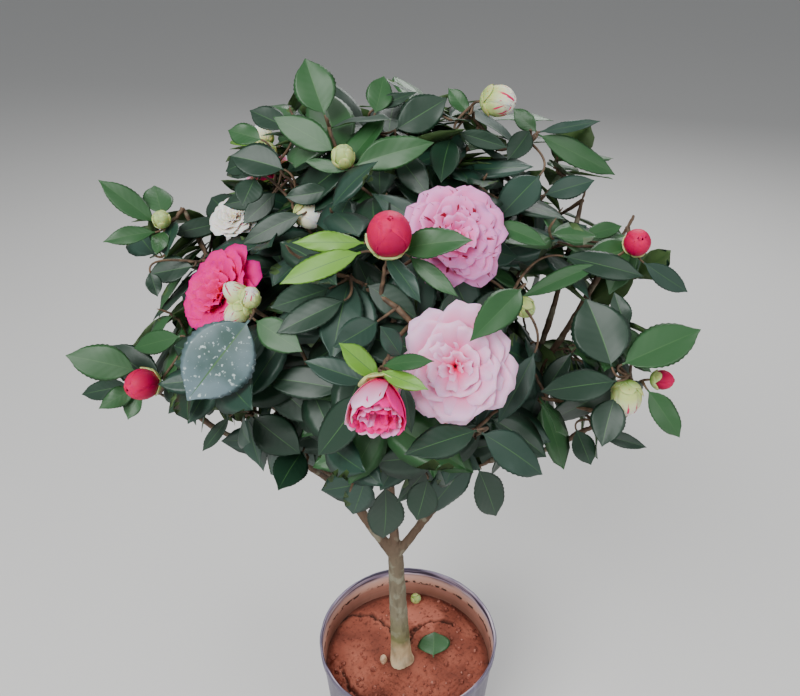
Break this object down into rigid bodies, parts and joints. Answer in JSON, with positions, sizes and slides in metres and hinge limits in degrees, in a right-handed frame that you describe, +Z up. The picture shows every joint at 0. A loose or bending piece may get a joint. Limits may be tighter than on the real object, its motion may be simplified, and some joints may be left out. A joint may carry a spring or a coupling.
{
  "type": "potted camellia shrub",
  "caption": "Evergreen camellia shrub in flower on a short leaning trunk, with an open round crown, growing in a round plastic nursery pot.",
  "frame": {"origin": "centre of the flat underside of the pot", "axes": "+Z up along the pot's axis; the side with most flowers faces -Y, and +X is on the right in a view along +Y"},
  "size_m": [0.6093, 0.5513, 1.0211],
  "materials": {
    "pot": "satin",
    "soil": "matte",
    "bark": "matte",
    "foliage": "satin"
  },
  "bodies": {
    "root": {"pot": "pot", "soil": "soil", "trunk": "bark", "bough_left_upper": "bark", "bough_top_left": "bark", "bough_right_side": "bark", "bough_front_left": "bark", "bough_left_low": "bark", "bough_low_left": "bark", "bough_back_left": "bark", "bough_front": "bark", "bough_front_low": "bark", "bough_back_low": "bark", "bough_top_back": "bark", "bough_top_right": "bark", "bough_right_upper": "bark", "bough_right_low": "bark", "bough_back_right": "bark", "leaves_left_upper": "foliage", "leaves_top_left": "foliage", "leaves_right_side": "foliage", "leaves_front_left": "foliage", "leaves_left_low": "foliage", "leaves_low_left": "foliage", "leaves_back_left": "foliage", "leaves_front": "foliage", "leaves_front_low": "foliage", "leaves_back_low": "foliage", "leaves_top_back": "foliage", "leaves_top_right": "foliage", "leaves_right_upper": "foliage", "leaves_right_low": "foliage", "leaves_back_right": "foliage"}
  },
  "joints": []
}
